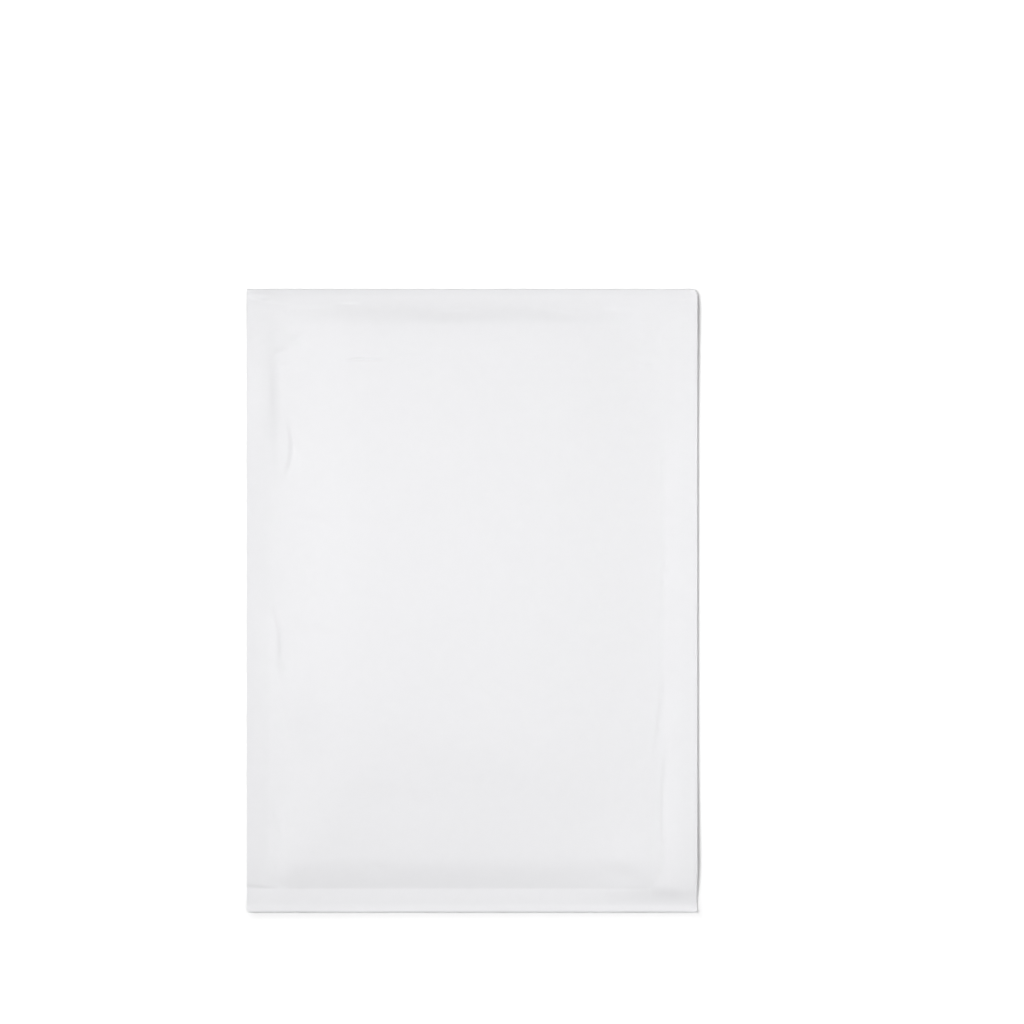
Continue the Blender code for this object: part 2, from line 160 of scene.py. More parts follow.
# Spacing of the other rows: where the back is curved, in its roll, and where the sheet is flat
BACK_ROW = 2.0 * MM
ROLL_ROW = 1.6 * MM
FLAT_ROW = 7.0 * MM

# Spacing of the film's mesh: coarse, on the front web, and in the zone beside its edges
FILM_CELL = 4.0 * MM
FILM_FRONT_ROW = 2.0 * MM
FILM_EDGE_COLUMN = 1.3 * MM
FILM_EDGE_ZONE = 26.0 * MM
TAPE_CELL = 2.0 * MM

# Steepness of the front at distances in mm from the top fold
MOUTH_STEEPNESS = (
    (0, 0.0), (2, 0.04), (5, 0.09), (8, 0.26), (10.5, 0.46),
    (13, 0.38), (17, 0.13), (25, 0.05), (36, 0.0),
)
MOUTH_SAMPLES = 200

# Share of a wrinkle's height that is left at its ends
WRINKLE_ENDS = 0.45

# Wrinkles in mm: from x, y to x, y, sideways bow, half width, height. Where two half widths
# are given, the first is the one on the right hand and the second the one on the left hand
TOP_WRINKLES = (
    (3.5, 127.4, -18.1, 127.0, -0.3, 1.3, 3.0, -0.36),
    (50.9, 126.4, 31.0, 128.6, 0.4, 1.3, 3.0, -0.34),
    (67.3, 128.0, 60.2, 128.3, 0.0, 1.5, 3.0, -0.55),
    (-53.3, 131.4, -57.1, 131.5, 0.0, 0.7, 2.0, -0.45),
    (-39.9, 107.1, -54.2, 107.1, 0.0, 0.45, -0.60),
    (-23.5, 107.4, -40.0, 107.6, 0.0, 0.8, 2.4, -0.26),
    (24.3, 104.5, 42.9, 104.3, 0.0, 0.8, 0.08),
    (81.4, 100.0, 58.0, 101.0, -0.4, 2.6, 6.0, -0.34),
    (80.1, 104.2, 73.9, 104.6, 0.0, 1.1, 3.4, -0.36),
    (75.8, 114.4, 74.8, 114.8, 0.0, 1.2, 3.0, -0.24),
    (84.8, 116.1, 83.4, 116.4, 0.0, 1.1, 3.0, -0.22),
)
LEFT_WRINKLES = (
    (-73.9, 113.7, -81.9, 120.3, -0.6, 1.1, 3.0, -0.46),
    (-74.4, 119.8, -81.4, 113.9, 0.4, 1.0, 2.6, -0.36),
    (-79.2, 111.7, -89.8, 108.4, -0.5, 1.2, 3.2, -0.55),
    (-81.9, 104.6, -90.7, 104.4, 0.0, 0.9, 3.2, -0.40),
    (-80.0, 124.6, -90.5, 124.8, 0.0, 1.6, 4.0, -0.30),
    (-66.0, 129.3, -80.0, 128.6, 0.0, 1.6, 4.0, -0.30),
    (-85.8, 36.6, -88.6, 37.4, 0.0, 1.1, 2.6, -0.40),
    (-66.5, 36.0, -81.5, 37.0, 0.0, 1.3, 4.0, -0.34),
    (-61.0, 33.6, -72.0, 35.0, 0.0, 1.3, 4.0, -0.30),
    (-72.1, 11.7, -75.2, 14.4, -0.2, 1.1, 2.6, -0.30),
    (-65.9, 1.1, -74.8, 3.3, -0.4, 1.2, 3.2, -0.32),
    (-60.6, -16.2, -81.9, -11.7, -0.7, 1.3, 4.0, -0.34),
    (-81.8, -29.8, -83.2, -29.3, 0.0, 1.2, 2.2, -0.50),
    (-88.0, -88.0, -86.8, -97.0, 0.0, 0.8, 2.4, -0.24),
    (-86.0, -92.0, -84.4, -104.0, 0.0, 0.8, 2.4, -0.24),
    (-87.4, -112.8, -85.8, -121.0, 0.3, 1.2, 3.0, -0.45),
    (-88.6, -128.0, -99.6, -127.0, 0.0, 0.6, 1.8, -0.34),
)
RIGHT_WRINKLES = (
    (84.8, 68.0, 85.2, 53.0, 0.2, 1.3, 4.0, -0.40),
    (84.8, 50.0, 85.0, 24.0, 0.2, 1.3, 4.0, -0.22),
    (86.3, 21.8, 85.3, 7.0, 0.0, 1.2, 3.6, -0.60),
    (84.8, 4.0, 84.4, -30.0, 0.2, 1.3, 4.0, -0.26),
    (82.8, -25.6, 80.0, -24.8, 0.0, 0.8, 2.4, -0.36),
    (84.8, -36.0, 81.6, -66.5, 0.7, 1.3, 4.5, -0.60),
    (87.2, -64.4, 85.6, -109.0, -1.3, 1.2, 4.0, -0.55),
    (98.9, 133.5, 89.2, 133.0, 0.0, 0.7, 1.8, -0.50),
    (94.8, 124.0, 95.2, 118.0, 0.0, 1.2, 3.0, -0.30),
)
BOTTOM_WRINKLES = (
    (-18.1, -91.3, -52.7, -84.9, -1.2, 4.4, 12.0, -0.50),
    (-40.3, -119.4, -42.9, -116.8, 0.0, 1.1, 2.6, -0.34),
)
# Puckers, given like the wrinkles
PUCKERS = (
    (-90.6, 107.5, -90.2, 74.0, 0.0, 9.0, 3.0, 1.30),
    (-80.9, 77.6, -81.8, 57.3, 2.0, 1.1, 4.0, -1.05),
    (-89.0, -5.5, -86.9, -25.0, 1.4, 5.0, 1.4, 0.75),
    (-85.6, -33.0, -76.5, -60.0, 0.6, 3.4, 9.0, 1.20),
    (-22.5, -58.0, 50.0, -82.0, 0.8, 11.0, 30.0, 0.90),
    (60.5, -112.5, 81.5, -123.0, 0.5, 4.8, 14.0, 0.95),
    (58.0, -128.2, 88.0, -127.6, 0.0, 4.6, 6.0, 0.95),
)
CORNER_WRINKLES = (
    (-97.4, 138.2, -95.4, 137.4, 0.0, 1.3, 0.55),
    (-99.2, 136.3, -89.0, 134.3, 0.0, 1.3, 2.4, 0.60),
    (-89.8, 132.8, -96.7, 133.3, 0.0, 0.7, 1.8, -0.40),
    (-82.5, 131.3, -90.0, 131.6, 0.0, 0.6, 1.6, -0.20),
)
# Lift of the lower right corner: a pucker that both panels and the film share
CORNER_LIFT = (80.0, -126.3, 102.0, -127.6, 0.0, 4.8, 40.0, 1.60)
FRONT_WRINKLES = (
    TOP_WRINKLES + LEFT_WRINKLES + RIGHT_WRINKLES + BOTTOM_WRINKLES + CORNER_WRINKLES + PUCKERS
)

# Wrinkles of the back panel, all pushed up into the pad
BACK_WRINKLES = (
    (84.0, 62.0, 85.5, -8.0, 0.6, 1.3, 0.14),
    (-86.0, 70.0, -84.5, 20.0, 0.4, 1.2, 0.12),
    (-30.0, -121.0, 60.0, -121.6, 0.8, 2.0, 0.12),
)

# Black cutting mark: corners of the box inside which the paper is inked
MARK_LOW = (-100.5 * MM, -137.6 * MM, -1.0 * MM)
MARK_HIGH = (-98.2 * MM, -123.8 * MM, 0.29 * MM)

# Sockets of the colour mix node
MIX_SHARE, MIX_FIRST, MIX_SECOND, MIX_RESULT = 0, 6, 7, 2

# Table and surround
FLOOR_SIZE = 6.0
FLOOR_DROP = 0.02 * MM
SURROUND_LEVEL = 0.12

# Painted light on the table: a glow, seen directly, that is nil at the envelope's right and lower
# edges, where the real shadow shows, and full farther out; by the left and upper edges it already
# starts partly on and washes the shadow there out
PAINTED_GLOW_SHIFT = 2.0 * MM
PAINTED_GLOW_REACH = 18.0 * MM

# Lamps: name, place, target, width, depth, power, spread in degrees
LAMPS = (
    ("lamp_left", (-0.84, 0.14, 1.50), (0.04, 0.02, 0), 0.66, 0.84, 2.265, 50),
    ("lamp_right", (0.749, 0.07, 0.54), (0, 0.05, 0), 0.44, 0.67, 3.28, 180),
)


class EnvelopeSizes(bpy.types.PropertyGroup):
    """Sizes of the folded envelope that a user would change."""

    paper: FloatProperty(
        name="Paper", description="Thickness of the kraft paper",
        default=0.2 * MM, unit="LENGTH", precision=5,
    )
    film: FloatProperty(
        name="Film", description="Thickness of the bubble film's base layer",
        default=0.15 * MM, unit="LENGTH", precision=5,
    )
    seam: FloatProperty(
        name="Side seam", description="Width of the flat pressed side seams",
        default=8.9 * MM, unit="LENGTH", precision=5,
    )
    band: FloatProperty(
        name="Bottom band", description="Height of the flat band below the pad",
        default=10.7 * MM, unit="LENGTH", precision=5,
    )
    left_slack: FloatProperty(
        name="Left slack", description="Flat paper between the left seam and the pad",
        default=0.9 * MM, unit="LENGTH", precision=5,
    )
    right_slack: FloatProperty(
        name="Right slack", description="Flat paper between the right seam and the pad",
        default=5.6 * MM, unit="LENGTH", precision=5,
    )
    shoulder: FloatProperty(
        name="Flap shoulder", description="Depth of the flap's full-width part",
        default=26.7 * MM, unit="LENGTH", precision=5,
    )
    flap: FloatProperty(
        name="Flap", description="Depth of the whole flap",
        default=47.1 * MM, unit="LENGTH", precision=5,
    )
    neck: FloatProperty(
        name="Flap neck", description="Width of the flap just past its shoulders",
        default=188.8 * MM, unit="LENGTH", precision=5,
    )
    flap_end: FloatProperty(
        name="Flap end", description="Width of the flap's free edge",
        default=172.4 * MM, unit="LENGTH", precision=5,
    )
    worn_corner: FloatProperty(
        name="Worn corner", description="Radius of the worn corner of the top fold",
        default=3.0 * MM, unit="LENGTH", precision=5,
    )
    mouth: FloatProperty(
        name="Mouth setback", description="How far the back panel's edge stops below the fold",
        default=1.2 * MM, unit="LENGTH", precision=5,
    )
    bubble_pitch: FloatProperty(
        name="Bubble pitch", description="Distance between neighbouring bubbles",
        default=10.6 * MM, unit="LENGTH", precision=5,
    )
    bubble: FloatProperty(
        name="Bubble", description="Diameter of a bubble",
        default=9.2 * MM, unit="LENGTH", precision=5,
    )
    bubble_height: FloatProperty(
        name="Bubble height", description="Height of a bubble that nothing presses",
        default=2.9 * MM, unit="LENGTH", precision=5,
    )


class EnvelopeColours(bpy.types.PropertyGroup):
    """Colours of the materials, as sRGB hex values."""

    paper: StringProperty(name="Paper", description="White kraft paper", default="F2F2F4")
    ink: StringProperty(name="Ink", description="Black cutting mark", default="1B1B1D")
    liner: StringProperty(name="Liner", description="Release paper", default="ECEAE4")
    glue: StringProperty(name="Adhesive", description="Hot-melt adhesive", default="E9E2CC")
    film: StringProperty(name="Film", description="Polyethylene film", default="F4F6F8")
    tape: StringProperty(name="Tape", description="Clear tape", default="F7F7F7")
    floor: StringProperty(name="Floor", description="White table", default="F8F8F8")


class EnvelopeStage(bpy.types.PropertyGroup):
    """Place and lens of the camera."""

    camera_height: FloatProperty(
        name="Camera height", description="Height of the camera above the table",
        default=2.0, unit="LENGTH",
    )
    lens: FloatProperty(
        name="Lens", description="Focal length", default=158.25, unit="CAMERA",
    )
    camera_x: FloatProperty(
        name="Camera X", description="Place of the camera across the envelope",
        default=17.75 * MM, unit="LENGTH", precision=5,
    )
    camera_y: FloatProperty(
        name="Camera Y", description="Place of the camera along the envelope",
        default=39.35 * MM, unit="LENGTH", precision=5,
    )


def smooth_step(share):
    """Smooth step from 0 to 1."""
    share = np.clip(share, 0.0, 1.0)
    return share * share * (3 - 2 * share)


def rounded_rise(share, power):
    """Rise from 0 to 1 that is steepest at its start."""
    return 1 - (1 - np.clip(share, 0.0, 1.0)) ** power


def spaced(first, last, step):
    """Evenly spaced values from first up to, not including, last, near a given step."""
    count = max(round(abs(last - first) / step), 1)
    return [first + (last - first) * index / count for index in range(count)]


def stepped(changes, last):
    """Values from the first place up to the last, each place given with the spacing from it on."""
    ends = [place for place, step in changes[1:]] + [last]
    values = []
    for (start, step), end in zip(changes, ends):
        values += spaced(start, end, step)
    return values + [last]


def wrinkled(x, y, wrinkles):
    """Height that the wrinkles add at each point, each one a soft line with round ends."""
    height = np.zeros_like(x)
    for values in wrinkles:
        x0, y0, x1, y1, bow, right, *left, rise = (value * MM for value in values)
        run = math.hypot(x1 - x0, y1 - y0)
        along = ((x - x0) * (x1 - x0) + (y - y0) * (y1 - y0)) / run
        aside = ((y - y0) * (x1 - x0) - (x - x0) * (y1 - y0)) / run
        share = np.clip(along / run, 0.0, 1.0)
        beyond = along - share * run
        arch = 1 - (2 * share - 1) ** 2
        off = aside - bow * arch
        width = np.where(off < 0, right, left[0]) if left else right
        distance = np.hypot(off / width, beyond / (2 * right))
        share = WRINKLE_ENDS + (1 - WRINKLE_ENDS) * arch
        height += rise * share * np.exp(-distance ** 2)
    return height


def uneven(x, y):
    """Slow random waves of the paper."""
    points = zip(x / WAVE_LENGTH, y / WAVE_LENGTH)
    return WAVE_HEIGHT * np.array([noise.noise(Vector((u, v, WAVE_SLICE))) for u, v in points])


def mouth_rise(distance):
    """Share of the pad's height at a distance from the top fold, from its steepness."""
    stations, steepness = np.array(MOUTH_STEEPNESS).T
    fine = np.linspace(0, stations[-1], MOUTH_SAMPLES)
    rise = np.cumsum(np.interp(fine, stations, steepness))
    return np.interp(distance / MM, fine, rise / rise[-1])


class FoldedShape:
    """Where the folded paper and film lie, from the frame and the sizes."""

    def __init__(self, sizes):
        self.sizes = sizes
        paper, film = sizes.paper, sizes.film
        self.half_width = PAPER_HIGH.x
        self.top = PAPER_HIGH.y
        self.bottom = PAPER_LOW.y
        self.band_top = self.bottom + sizes.band
        self.flap_level = paper / 2
        self.back_seam = LINER_HIGH.z + LAYER_GAP + paper / 2
        self.film_offset = paper / 2 + LAYER_GAP + film / 2
        self.film_rest = paper / 2 + TOUCH_GAP + film / 2
        self.film_stack = 2 * self.film_rest + film + TOUCH_GAP
        self.front_seam = self.back_seam + 2 * self.film_offset + film + LAYER_GAP
        self.front_band = self.back_seam + paper + LAYER_GAP
        self.loft = PAPER_HIGH.z - paper / 2 - self.front_seam
        self.sag = self.back_seam - paper / 2
        self.low_radius = (LOW_FOLD_LEVELS[1] - LOW_FOLD_LEVELS[0]) / 2
        self.low_centre = self.bottom + paper / 2 + self.low_radius
        self.high_radius = (self.front_seam - self.flap_level) / 2
        self.high_centre = self.top - paper / 2 - self.high_radius
        self.low_turn = self.low_radius * math.pi / 2
        self.high_turn = self.high_radius * math.pi / 2
        self.front_end = self.low_turn + self.high_centre - self.low_centre
        self.crest = self.front_end + self.high_turn
        self.flap_start = self.crest + self.high_turn
        self.flap_tip = self.on_flap(self.top - sizes.flap)
        self.shoulder = self.on_flap(self.top - sizes.shoulder)
        self.mouth = self.on_back(self.top - sizes.mouth)

    def on_front(self, y):
        """Length along the blank of a place on the front."""
        return self.low_turn + y - self.low_centre

    def on_back(self, y):
        """Length along the blank of a place on the back."""
        return -self.on_front(y)

    def on_flap(self, y):
        """Length along the blank of a place on the flap."""
        return self.flap_start + self.high_centre - y

    def side_inset(self, x):
        """Distance inside the pad's left or right limit."""
        left = self.half_width - self.sizes.seam - self.sizes.left_slack
        right = self.half_width - self.sizes.seam - self.sizes.right_slack
        return np.where(x < 0, left + x, right - x)

    def fullness(self, x, y, slack=0.0):
        """Share of the pad's full height on the front."""
        side = self.side_inset(x) - slack
        low = y - self.band_top - slack
        roll = SIDE_ROLL_LOW + (SIDE_ROLL - SIDE_ROLL_LOW) * smooth_step(low / SIDE_ROLL_RUN)
        corner = np.hypot(np.maximum(1 - side / roll, 0), np.maximum(1 - low / BOTTOM_ROLL, 0))
        edge = rounded_rise(1 - corner, EDGE_FULLNESS)
        crown = rounded_rise(side / CROWN_REACH, 2)
        crown = crown * rounded_rise(low / CROWN_RUN, CROWN_RUN_FULLNESS)
        return edge * (EDGE_SHARE + (1 - EDGE_SHARE) * crown) * mouth_rise(self.top - y)

    def lift(self, y):
        """How far the seams stand up past the springy top fold."""
        below = self.top - self.sizes.paper - y
        rise = rounded_rise(below / TOP_LIFT_REACH, 3)
        return TOP_LIFT * rise * smooth_step(1 - below / TOP_LIFT_END)

    def edge_lift(self, x, y):
        """How far the left seam and the lower right corner curl up off the table."""
        inner = self.half_width - self.sizes.seam - self.sizes.left_slack
        across = smooth_step((-x - inner) / (self.half_width - inner))
        along = smooth_step((y - self.low_centre) / LEFT_LIFT_FADE)
        along = along * smooth_step((self.high_centre - y) / LEFT_LIFT_FADE)
        return LEFT_LIFT * across * along + wrinkled(x, y, (CORNER_LIFT,))

    def front(self, x, y):
        """Height of the middle of the front's paper, before its wrinkles."""
        crease = rounded_rise((y - self.band_top) / BOTTOM_ROLL, EDGE_FULLNESS)
        base = self.front_band + (self.front_seam - self.front_band) * crease
        bulge = smooth_step(1 - (y - self.low_centre) / LOW_FOLD_BULGE)
        base = base + (LOW_FOLD_LEVELS[1] - self.front_band) * bulge
        full = self.fullness(x, y)
        return base + self.lift(y) * (1 - full) + self.loft * full + self.edge_lift(x, y)

    def front_sheet(self, x, y):
        """Height of the middle of the front's paper with its wrinkles, clear of the back."""
        fade = smooth_step((y - self.bottom) / SHEET_FADE)
        fade = fade * smooth_step((self.top - y) / SHEET_FADE)
        waves = uneven(x, y) * smooth_step(self.side_inset(x) / SIDE_ROLL)
        z = self.front(x, y) + fade * (wrinkled(x, y, FRONT_WRINKLES) + waves)
        for side, drop, width in zip((-1, 1), CURL, CURL_WIDTHS):
            edge = self.cut_edge(side, y) - side * x
            into = np.clip(1 - edge / width, 0.0, 1.0)
            pressed = smooth_step(1 - edge / self.sizes.seam)
            z = z - fade * (drop * into ** 2 + SEAM_PINCH * pressed)
        stack = self.sizes.paper + LAYER_GAP / 2
        lined = smooth_step((y - self.band_top) / FILM_FOLD_SETBACK)
        stack = stack + (self.film_stack - stack) * lined
        return np.maximum(z, self.back(x, y, FILM_SLACK * lined) + stack)

    def back(self, x, y, slack=0.0):
        """Height of the middle of the back's paper, which clears the folded flap."""
        side = self.half_width - self.sizes.seam - np.abs(x) - slack
        low = y - self.band_top - slack
        roll = rounded_rise(np.minimum(side, low) / BACK_ROLL, 2)
        flap_end = self.top - self.sizes.flap
        clear = smooth_step((flap_end - STEP_MARGIN - y) / STEP_LENGTH)
        level = self.back_seam - self.sag * roll * clear + self.lift(y) * (1 - roll)
        level = level + self.edge_lift(x, y)
        droop = smooth_step(1 - (y - self.low_centre) / LOW_FOLD_DROOP)
        return level + (LOW_FOLD_LEVELS[0] - level) * droop

    def fold_parts(self, length):
        """Which points lie on the back, in the bottom fold, on the front and in the top fold."""
        ends = (-self.low_turn, self.low_turn, self.front_end, self.flap_start)
        return [length < end for end in ends]

    def folded_y(self, length):
        """Where points of the flat blank lie along the envelope once it is folded."""
        low = length / self.low_radius
        high = (length - self.crest) / self.high_radius
        return np.select(self.fold_parts(length), (
            self.low_centre - self.low_turn - length,
            self.low_centre - self.low_radius * np.cos(low),
            self.low_centre + length - self.low_turn,
            self.high_centre + self.high_radius * np.cos(high),
        ), self.high_centre - (length - self.flap_start))

    def folded_z(self, x, y, length):
        """How high points of the flat blank lie once it is folded."""
        low = length / self.low_radius
        high = (length - self.crest) / self.high_radius
        low_middle = sum(LOW_FOLD_LEVELS) / 2
        high_middle = (self.front_seam + self.flap_level) / 2
        return np.select(self.fold_parts(length), (
            self.back(x, y),
            low_middle + self.low_radius * np.sin(low),
            self.front_sheet(x, y),
            high_middle - self.high_radius * np.sin(high),
        ), self.flap_level)

    def cut_edge(self, side, y):
        """Distance of the left (-1) or right (1) cut edge from the middle."""
        corner = CUT_CORNERS[0] if side < 0 else CUT_CORNERS[1]
        edge = self.half_width - np.maximum(corner - (y - self.bottom), 0.0)
        if side > 0:
            radius = self.sizes.worn_corner
            into = np.clip(y - (self.top - radius), 0.0, radius)
            edge = edge - (radius - np.sqrt(radius ** 2 - into ** 2))
        return edge


def select_nothing():
    """Leave nothing selected, in object mode."""
    if bpy.context.object and bpy.context.object.mode != "OBJECT":
        bpy.ops.object.mode_set(mode="OBJECT")
    bpy.ops.object.select_all(action="DESELECT")


def grid_piece(name, columns, rows):
    """A grid whose columns and rows stand at the given places."""
    select_nothing()
    bpy.ops.mesh.primitive_grid_add(
        x_subdivisions=len(columns) - 1, y_subdivisions=len(rows) - 1, size=2, location=(0, 0, 0)
    )
    piece = bpy.context.object
    piece.name = piece.data.name = name
    flat = points_of(piece)
    across = np.rint((flat[:, 0] + 1) / 2 * (len(columns) - 1)).astype(int)
    along = np.rint((flat[:, 1] + 1) / 2 * (len(rows) - 1)).astype(int)
    flat[:, 0] = np.array(columns)[across]
    flat[:, 1] = np.array(rows)[along]
    place_points(piece, flat)
    return piece


def points_of(piece):
    """Every vertex of a piece as rows of x, y and z."""
    points = np.empty(len(piece.data.vertices) * 3)
    piece.data.vertices.foreach_get("co", points)
    return points.reshape(-1, 3)


def place_points(piece, points):
    """Move every vertex of a piece."""
    piece.data.vertices.foreach_set("co", points.ravel())
    piece.data.update()


def select_faces(piece, wanted):
    """Select the wanted faces alone and go to edit mode."""
    bpy.context.view_layer.objects.active = piece
    bpy.ops.object.mode_set(mode="EDIT")
    bpy.ops.mesh.select_mode(type="FACE")
    bpy.ops.mesh.select_all(action="DESELECT")
    bpy.ops.object.mode_set(mode="OBJECT")
    for face in piece.data.polygons:
        face.select = bool(wanted(face))
    bpy.ops.object.mode_set(mode="EDIT")


def delete_faces(piece, unwanted):
    """Delete the unwanted faces."""
    select_faces(piece, unwanted)
    bpy.ops.mesh.delete(type="FACE")
    bpy.ops.object.mode_set(mode="OBJECT")


def thicken(piece, thickness, even):
    """Give a sheet its thickness, half on each side."""
    wall = piece.modifiers.new("Thickness", "SOLIDIFY")
    wall.thickness = thickness
    wall.offset = 0.0
    wall.use_even_offset = even
    bpy.context.view_layer.objects.active = piece
    bpy.ops.object.modifier_apply(modifier=wall.name)


def finish_piece(piece, material, slot, *nodes):
    """Give a finished piece its material and its body, and hide the CAD nodes that it stands for.
    """
    piece.data.materials.clear()
    piece.data.materials.append(material)
    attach(piece, "root")
    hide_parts(*nodes)


def linear_colour(code):
    """Linear colour of an sRGB hex value."""
    parts = [int(code[start:start + 2], 16) / 255 for start in (0, 2, 4)]
    linear = [p / 12.92 if p <= 0.04045 else ((p + 0.055) / 1.055) ** 2.4 for p in parts]
    return (*linear, 1.0)


def add_node(tree, kind, settings=(), links=()):
    """Add a node, set its properties and sockets, and link its inputs."""
    node = tree.nodes.new(kind)
    for name, value in dict(settings).items():
        if hasattr(node, str(name)):
            setattr(node, name, value)
        else:
            node.inputs[name].default_value = value
    for name, source in dict(links).items():
        tree.links.new(source, node.inputs[name])
    return node


def new_material(name):
    """A material with its shader and its object coordinates."""
    material = bpy.data.materials.new(name)
    material.use_nodes = True
    tree = material.node_tree
    shader = tree.nodes["Principled BSDF"]
    place = add_node(tree, "ShaderNodeTexCoord").outputs["Object"]
    return material, tree, shader, place


def kraft_paper(colours):
    """Bleached kraft, machine finished: matt, faintly cloudy from its fibres."""
    material, tree, shader, place = new_material("bleached_kraft_paper")
    cloud_size = 5.0 * MM
    fibre_size = 0.9 * MM
    cloud_shade = 0.975
    clouds = add_node(tree, "ShaderNodeTexNoise", {
        "Scale": 1 / cloud_size, "Detail": 3.0, "Roughness": 0.6,
    }, {"Vector": place})
    white = linear_colour(colours.paper)
    shade = tuple(part * cloud_shade for part in white[:3]) + (1.0,)
    formation = add_node(tree, "ShaderNodeMix", {
        "data_type": "RGBA", MIX_FIRST: white, MIX_SECOND: shade,
    }, {MIX_SHARE: clouds.outputs["Fac"]})
    printed = add_node(tree, "ShaderNodeMix", {
        "data_type": "RGBA", MIX_SECOND: linear_colour(colours.ink),
    }, {MIX_SHARE: cutting_mark(tree, place), MIX_FIRST: formation.outputs[MIX_RESULT]})
    tree.links.new(printed.outputs[MIX_RESULT], shader.inputs["Base Color"])
    fibres = add_node(tree, "ShaderNodeTexNoise", {
        "Scale": 1 / fibre_size, "Detail": 4.0, "Roughness": 0.65,
    }, {"Vector": place})
    bump = add_node(tree, "ShaderNodeBump", {
        "Strength": 0.12, "Distance": 0.03 * MM,
    }, {"Height": fibres.outputs["Fac"]})
    tree.links.new(bump.outputs["Normal"], shader.inputs["Normal"])
    shader.inputs["Roughness"].default_value = 0.58
    shader.inputs["IOR"].default_value = 1.5
    return material


def cutting_mark(tree, place):
    """Share of ink: a black bar at the cut edge of the back panel."""
    split = add_node(tree, "ShaderNodeSeparateXYZ", links={"Vector": place})
    share = None
    for axis, (start, end) in enumerate(zip(MARK_LOW, MARK_HIGH)):
        middle, reach = (start + end) / 2, (end - start) / 2
        inside = add_node(tree, "ShaderNodeMath", {
            "operation": "COMPARE", 1: middle, 2: reach,
        }, {0: split.outputs[axis]}).outputs[0]
        if share is None:
            share = inside
        else:
            both = {0: share, 1: inside}
            share = add_node(tree, "ShaderNodeMath", {"operation": "MULTIPLY"}, both).outputs[0]
    return share


def plain_film(name, colour, roughness, ior, transmission, grain_size):
    """A glossy or milky plastic film or paper with a fine grain."""
    material, tree, shader, place = new_material(name)
    grain = add_node(tree, "ShaderNodeTexNoise", {
        "Scale": 1 / grain_size, "Detail": 2.0,
    }, {"Vector": place})
    bump = add_node(tree, "ShaderNodeBump", {
        "Strength": 0.1, "Distance": 0.02 * MM,
    }, {"Height": grain.outputs["Fac"]})
    tree.links.new(bump.outputs["Normal"], shader.inputs["Normal"])
    shader.inputs["Base Color"].default_value = linear_colour(colour)
    shader.inputs["Roughness"].default_value = roughness
    shader.inputs["IOR"].default_value = ior
    shader.inputs["Transmission Weight"].default_value = transmission
    return material


class ENVELOPE_OT_paper(bpy.types.Operator):
    """Fold the paper blank into the front, the back and the flap."""

    bl_idname = "envelope.paper"
    bl_label = "Paper pocket"

    def execute(self, context):
        """Make the paper as one grid, folded, wrinkled and thickened."""
        sizes = context.scene.envelope_sizes
        shape = FoldedShape(sizes)
        piece = grid_piece("folded_paper", paper_columns(shape), paper_rows(shape))
        neck = sizes.neck / 2
        delete_faces(
            piece, lambda face: face.center.y > shape.shoulder and abs(face.center.x) > neck
        )
        flat = points_of(piece)
        place_points(piece, folded_points(shape, flat[:, 0], flat[:, 1]))
        thicken(piece, sizes.paper, True)
        bpy.ops.object.shade_smooth_by_angle(angle=math.radians(50))
        surface = kraft_paper(context.scene.envelope_colours)
        finish_piece(piece, surface, "kraft_paper", "paper_pocket")
        return {"FINISHED"}


def paper_columns(shape):
    """Places across the blank, closest together over the seams and the pad's slopes."""
    half, neck = shape.half_width, shape.sizes.neck / 2
    changes = [(-half, EDGE_COLUMN * MM), (-neck, EDGE_COLUMN * MM)]
    changes += [(inset * MM - half, step * MM) for inset, step in LEFT_COLUMNS]
    changes += [(half - inset * MM, step * MM) for inset, step in RIGHT_COLUMNS]
    changes += [(neck, EDGE_COLUMN * MM), (half - CURL_WIDTHS[1], CURL_WIDTHS[1] / 4)]
    return stepped(changes, half)


def paper_rows(shape):
    """Lengths along the blank from the mouth round to the flap's tip."""
    flap_end = shape.top - shape.sizes.flap
    changes = [
        (shape.mouth, BACK_ROW),
        (shape.on_back(TAPE_LOW.y), 2 * FLAT_ROW),
        (shape.on_back(flap_end), BACK_ROW),
        (shape.on_back(flap_end - STEP_MARGIN - STEP_LENGTH), FLAT_ROW),
        (shape.on_back(shape.band_top + BACK_ROLL), ROLL_ROW),
        (-shape.low_turn, shape.low_turn / 4),
        (shape.low_turn, LOW_ROW * MM),
    ]
    changes += [(shape.on_front(y * MM), step * MM) for y, step in FRONT_ROWS]
    changes += [
        (shape.front_end, shape.high_turn / 6),
        (shape.flap_start, FLAT_ROW),
        (shape.shoulder, FLAP_FILLET / 5),
        (shape.shoulder + FLAP_FILLET, FLAT_ROW),
        (shape.flap_tip - FLAP_END_CORNER, FLAP_END_CORNER / 4),
    ]
    return stepped(changes, shape.flap_tip)


def flap_half_width(shape, length):
    """Half the flap's width past its shoulders, with a fillet and a rounded end."""
    neck, end = shape.sizes.neck / 2, shape.sizes.flap_end / 2
    share = (length - shape.shoulder) / (shape.flap_tip - shape.shoulder)
    taper = neck + (end - neck) * share
    fillet = np.clip(1 - (length - shape.shoulder) / FLAP_FILLET, 0.0, 1.0)
    corner = np.clip(1 - (shape.flap_tip - length) / FLAP_END_CORNER, 0.0, 1.0)
    rounding = FLAP_END_CORNER * (1 - np.sqrt(1 - corner ** 2))
    return taper - rounding + FILLET_FLARE * FLAP_FILLET * fillet ** 2


